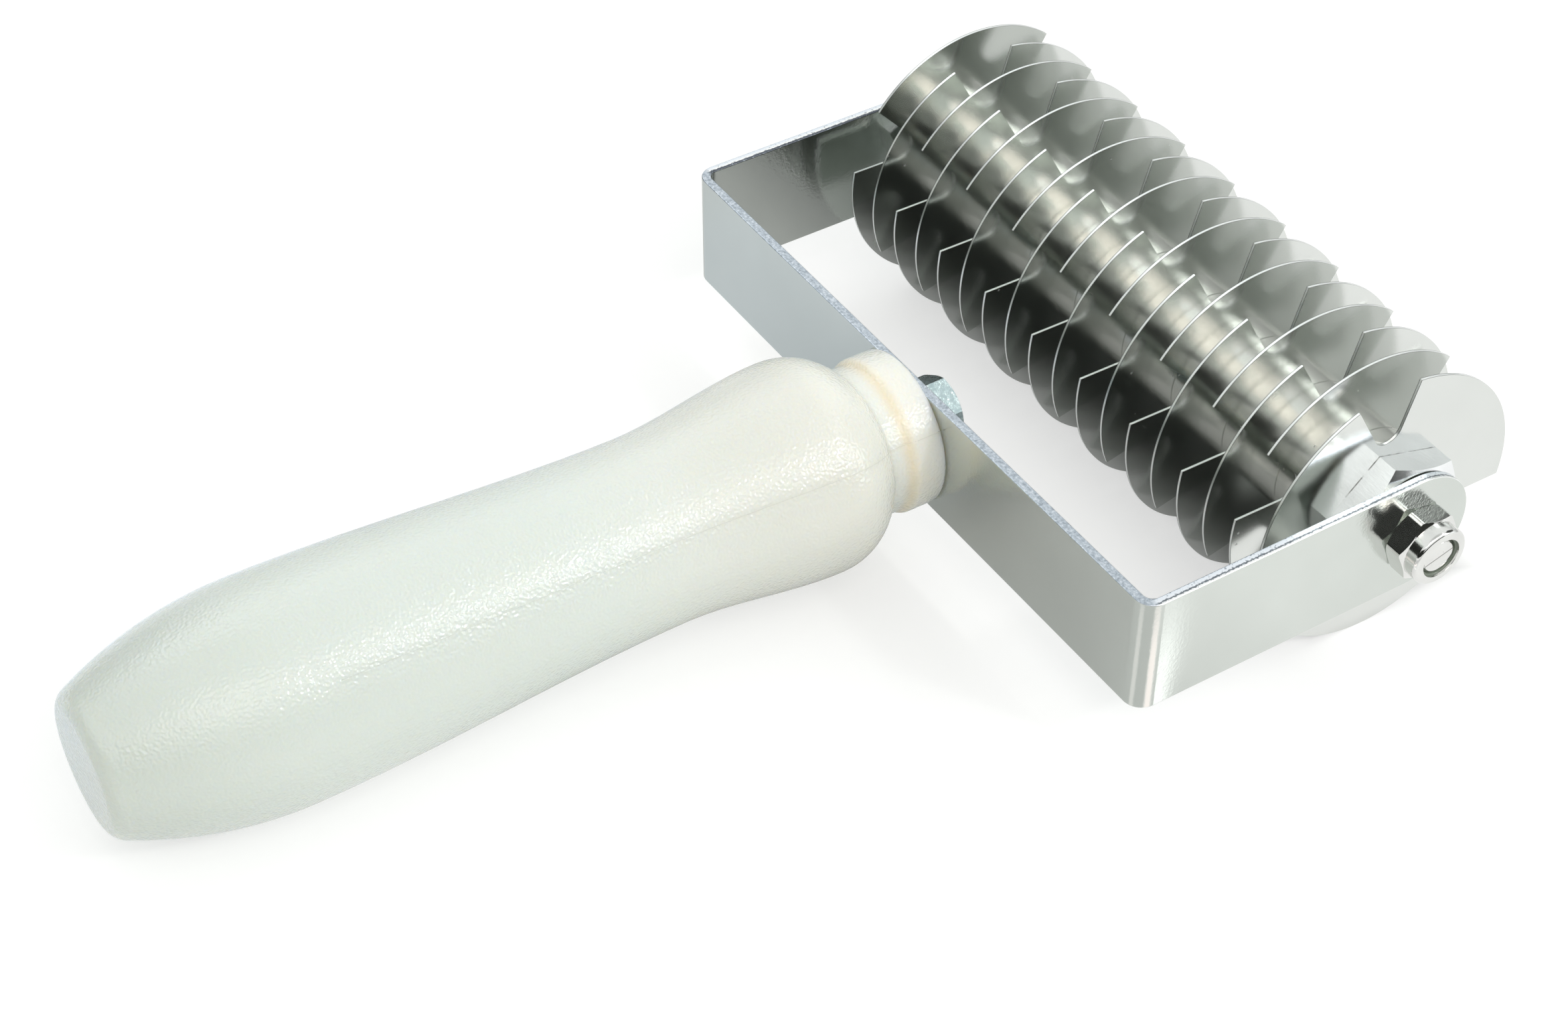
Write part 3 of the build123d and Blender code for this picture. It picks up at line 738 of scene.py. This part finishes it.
def addMirrorLift(tree, row, place, look):
    apart = addNode(tree, "ShaderNodeSeparateXYZ", (-6, row))
    tree.links.new(place, apart.inputs["Vector"])
    low, high = look["mirrorReach"]
    along = addNode(tree, "ShaderNodeMapRange", (-5, row), {"From Min": low, "From Max": high})
    tree.links.new(apart.outputs["Y"], along.inputs["Value"])
    levels = []
    for step, name in enumerate(("mirrorUnder", "mirrorBeside")):
        stops = [((at - low) / (high - low), (level, level, level)) for at, level in look[name]]
        levels.append(addRamp(tree, (-3, row - 2 * step), along.outputs["Result"], stops))
    besides = []
    for step, (way, start) in enumerate(((1, look["mirrorSide"]), (-1, look["mirrorFarSide"]))):
        beside = addNode(tree, "ShaderNodeMapRange", (-3, row - 4 - step),
                         {"From Min": way * start, "From Max": way * (start + look["mirrorFade"])})
        tree.links.new(apart.outputs["X"], beside.inputs["Value"])
        besides.append(beside.outputs["Result"])
    beside = doMath(tree, (-2, row - 4), "MAXIMUM", *besides)
    return mixTwo(tree, (-1, row), beside, *levels)


def addGlints(tree, row, place, look):
    # the near bend's corner comes from the yoke's own box
    low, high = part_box("yoke")
    corner = Vector((high.x - look["bendIn"], low.y + look["bendIn"], 0))
    offset = addNode(tree, "ShaderNodeVectorMath", (-7, row), operation="SUBTRACT")
    tree.links.new(place, offset.inputs[0])
    offset.inputs[1].default_value = corner
    flat = addNode(tree, "ShaderNodeVectorMath", (-6, row), operation="NORMALIZE")
    tree.links.new(offset.outputs["Vector"], flat.inputs[0])
    far = addNode(tree, "ShaderNodeVectorMath", (-6, row - 1), operation="LENGTH")
    tree.links.new(offset.outputs["Vector"], far.inputs[0])
    near = addNode(tree, "ShaderNodeMapRange", (-5, row - 1),
                   {"From Min": look["glintReach"], "From Max": look["glintReach"] * look["glintFull"]})
    tree.links.new(far.outputs["Value"], near.inputs["Value"])
    total = None
    for step, (bearing, spread, lift) in enumerate(look["glints"]):
        turn, edge = math.radians(bearing), math.radians(spread)
        ray = placeGroup(tree, facingGroup, (-4, row - step), flat.outputs["Vector"],
                         {"Way": (math.cos(turn), math.sin(turn), 0),
                          "From": math.cos(edge), "To": math.cos(edge * look["glintCore"])})
        part = doMath(tree, (-3, row - step), "MULTIPLY", ray.outputs["Mask"], lift)
        total = part if total is None else doMath(tree, (-2, row - step), "ADD", total, part)
    pink = doMath(tree, (-1, row), "MULTIPLY", total, near.outputs["Result"])
    flash = look["flash"]
    turn = math.radians(flash["bearing"])
    start = Vector((high.x, low.y + flash["startIn"], 0))
    band = placeGroup(tree, bandGroup, (-4, row - 4), place,
                      {"Origin": start, "Way": (-math.sin(turn), math.cos(turn), 0),
                       "Half": flash["half"], "Soft": flash["soft"]})
    outside = addNode(tree, "ShaderNodeMapRange", (-4, row - 6), {"From Max": flash["fadeIn"]})
    apart = addNode(tree, "ShaderNodeSeparateXYZ", (-5, row - 6))
    tree.links.new(offset.outputs["Vector"], apart.inputs["Vector"])
    tree.links.new(apart.outputs["X"], outside.inputs["Value"])
    white = doMath(tree, (-2, row - 4), "MULTIPLY", band.outputs["Mask"], outside.outputs["Result"])
    white = doMath(tree, (-1, row - 4), "MULTIPLY", white, near.outputs["Result"])
    white = doMath(tree, (0, row - 4), "MULTIPLY", white, flash["lift"])
    return pink, white


def addCoolGlow(tree, row, place, look):
    across = placeGroup(tree, bandGroup, (-4, row), place,
                        {"Way": sideWay, "Middle": look["middle"],
                         "Half": look["half"], "Soft": look["soft"]})
    along = placeGroup(tree, facingGroup, (-4, row - 2), place,
                       {"Way": (0, 1, 0), "From": look["front"], "To": look["front"] - look["fade"]})
    return doMath(tree, (-2, row), "MULTIPLY", across.outputs["Mask"], along.outputs["Mask"])


def makeFloor(look):
    half = look["half"]
    floor = addMesh("floor", [(-half, -half, 0), (half, -half, 0), (half, half, 0), (-half, half, 0)],
                    [(0, 1, 2, 3)])
    finish, tree, shader, place = newFinish("floorWhite")
    shader.inputs["Roughness"].default_value = look["rough"]
    shader.inputs["Specular IOR Level"].default_value = look["sheen"]
    clouds = placeGroup(tree, mottleGroup, (-5, 2), place["Object"], {"Scale": look["cloudScale"]})
    tone = mixTwo(tree, (-3, 2), clouds.outputs["Mask"], look["colour"], look["other"])
    # the lift shows to the eye and in polished metal, and lights nothing
    rays = addNode(tree, "ShaderNodeLightPath", (-6, -3))
    eye = rays.outputs["Is Camera Ray"]
    mirrored = doMath(tree, (-4, -3), "MAXIMUM", rays.outputs["Is Glossy Ray"],
                      rays.outputs["Is Transmission Ray"])
    seenLift = addFloorShade(tree, -5, place["Object"], look["seenShade"], look["lift"])
    mirrorLift = addMirrorLift(tree, -10, place["Object"], look)
    pink, white = addGlints(tree, -18, place["Object"], look)
    mirrorLift = doMath(tree, (0, -12), "ADD", mirrorLift, white)
    mirrorLift = doMath(tree, (1, -12), "ADD", mirrorLift, pink)
    pink = doMath(tree, (2, -14), "MULTIPLY", pink, mirrored)
    shine = mixTwo(tree, (3, -14), pink, (1, 1, 1), look["glintColour"])
    # painted cool glow, seen only in the metal
    coolGlow = addCoolGlow(tree, -28, place["Object"], look["coolGlow"])
    coolLift = doMath(tree, (0, -28), "MULTIPLY", coolGlow, look["coolGlow"]["lift"])
    mirrorLift = doMath(tree, (1, -28), "ADD", mirrorLift, coolLift)
    coolGlow = doMath(tree, (2, -28), "MULTIPLY", coolGlow, mirrored)
    shine = mixTwo(tree, (4, -28), coolGlow, shine, look["coolGlow"]["colour"])
    shaded = doMath(tree, (1, -7), "DIVIDE", seenLift, look["lift"])
    shaded = doMath(tree, (2, -7), "SUBTRACT", 1.0, shaded)
    shaded = doMath(tree, (3, -7), "MULTIPLY", shaded, mirrored)
    seenLift = doMath(tree, (2, -5), "MULTIPLY", seenLift, eye)
    mirrorLift = doMath(tree, (2, -10), "MULTIPLY", mirrorLift, mirrored)
    lift = doMath(tree, (3, -5), "ADD", seenLift, mirrorLift)
    seen = doMath(tree, (-3, -3), "MAXIMUM", eye, mirrored)
    tone = mixTwo(tree, (1, 2), seen, tone, look["seenColour"])
    tone = mixTwo(tree, (2, 2), shaded, tone, look["shadeColour"])
    tree.links.new(tone, shader.inputs["Base Color"])
    glow = addNode(tree, "ShaderNodeVectorMath", (5, -14), operation="SCALE")
    tree.links.new(shine, glow.inputs["Vector"])
    tree.links.new(lift, glow.inputs["Scale"])
    tree.links.new(glow.outputs["Vector"], shader.inputs["Emission Color"])
    shader.inputs["Emission Strength"].default_value = 1.0
    floor.data.materials.append(finish)


def makeCard(name, look):
    points, faces = [], []
    steps = int((look["to"] - look["from"]) / cardStep)
    heights = [cardRadius * math.tan(math.radians(look[end])) for end in ("low", "high")]
    for step in range(steps + 1):
        turn = math.radians(look["from"] + (look["to"] - look["from"]) * step / steps)
        points += [(cardRadius * math.cos(turn), cardRadius * math.sin(turn), height) for height in heights]
        if step:
            faces.append((2 * step - 2, 2 * step, 2 * step + 1, 2 * step - 1))
    card = addMesh(name, points, faces)
    finish, tree, shader, place = newFinish(name + "Board")
    shader.inputs["Base Color"].default_value = (*look["colour"], 1)
    shader.inputs["Roughness"].default_value = cardRough
    card.data.materials.append(finish)
    card.visible_camera = False


def makeTent(look):
    world = bpy.data.worlds.new("paleTent")
    world.use_nodes = True
    tree = world.node_tree
    background = tree.nodes["Background"]
    way = addNode(tree, "ShaderNodeTexCoord", (-6, 0))
    apart = addNode(tree, "ShaderNodeSeparateXYZ", (-4, 0))
    tree.links.new(way.outputs["Generated"], apart.inputs["Vector"])
    stops = [(height, [level * part for part in look["colour"]]) for height, level in look["levels"]]
    tree.links.new(addRamp(tree, (-2, 0), apart.outputs["Z"], stops), background.inputs["Color"])
    background.inputs["Strength"].default_value = look["strength"]
    scene.world = world


makeFloor(floorLook)
for cardName, cardSettings in cardLook.items():
    makeCard(cardName, cardSettings)
makeTent(tentLook)

# lamps stand round the table: bearing from the near side, height angle, distance, size and power

lampLook = {
    "whiteLamp": {"azimuth": 28.0, "height": 40.0, "far": 1.1, "wide": 0.07, "tall": 0.07,
                  "power": 1.40, "colour": (1.0, 1.0, 1.0)},
    "warmLamp": {"azimuth": -11.0, "height": 48.0, "far": 1.1, "wide": 0.78, "tall": 0.34,
                 "power": 1.85, "colour": (1.0, 0.89, 0.82)},
    "frontLamp": {"azimuth": 43.0, "height": 29.0, "far": 1.1, "wide": 0.26, "tall": 0.60,
                  "power": 1.80, "colour": (0.97, 1.0, 1.0)},
    "lowLamp": {"azimuth": 57.0, "height": 9.0, "far": 1.1, "wide": 0.40, "tall": 0.22,
                "power": 0.20, "colour": (0.94, 0.98, 1.0)},
    "sideLamp": {"azimuth": -50.0, "height": 40.0, "far": 1.1, "wide": 0.42, "tall": 0.16,
                 "power": 0.16, "colour": (1.0, 1.0, 1.0)},
    "fillLamp": {"azimuth": 184.0, "height": 50.0, "far": 1.1, "wide": 0.54, "tall": 0.34,
                 "power": 0.80, "colour": (0.94, 0.98, 1.0)},
}
bulbPlaces = ((-35.0, 55.0), (-15.0, 60.0), (50.0, 52.0), (75.0, 57.0))
bulbLook = {"far": 1.1, "wide": 0.04, "tall": 0.04, "power": 0.18, "colour": (1.0, 0.98, 0.95)}


def makeLamp(name, look):
    lamp = bpy.data.lights.new(name, "AREA")
    lamp.shape = "RECTANGLE"
    lamp.size = look["wide"]
    lamp.size_y = look["tall"]
    lamp.energy = look["power"]
    lamp.color = look["colour"]
    azimuth, height = math.radians(look["azimuth"]), math.radians(look["height"])
    way = Vector((math.cos(height) * math.cos(azimuth), math.cos(height) * math.sin(azimuth),
                  math.sin(height)))
    holder = addObject(name, lamp)
    holder.location = way * look["far"]
    holder.rotation_euler = way.to_track_quat("Z", "Y").to_euler()


for lampName, lampSettings in lampLook.items():
    makeLamp(lampName, lampSettings)
for count, (azimuth, height) in enumerate(bulbPlaces):
    makeLamp("bulb" + str(count + 1), dict(bulbLook, azimuth=azimuth, height=height))
scene.view_settings.view_transform = "Standard"
scene.cycles.glossy_bounces = 10                         # light has to find its way in between the blades

cameraLook = {
    "at": (0.275682, -0.178900, 0.304981),
    "turn": (48.7372, -2.1572, 57.5963),
    "lens": 68.761, "sensor": 36.0, "nearest": 0.01,
}
cameraData = bpy.data.cameras.new("camera")
cameraData.lens = cameraLook["lens"]
cameraData.sensor_width = cameraLook["sensor"]
cameraData.sensor_fit = "HORIZONTAL"
cameraData.clip_start = cameraLook["nearest"]
camera = addObject("camera", cameraData)
camera.location = cameraLook["at"]
camera.rotation_euler = [math.radians(angle) for angle in cameraLook["turn"]]
scene.camera = camera
print("cutter: stage, lamps and camera set")
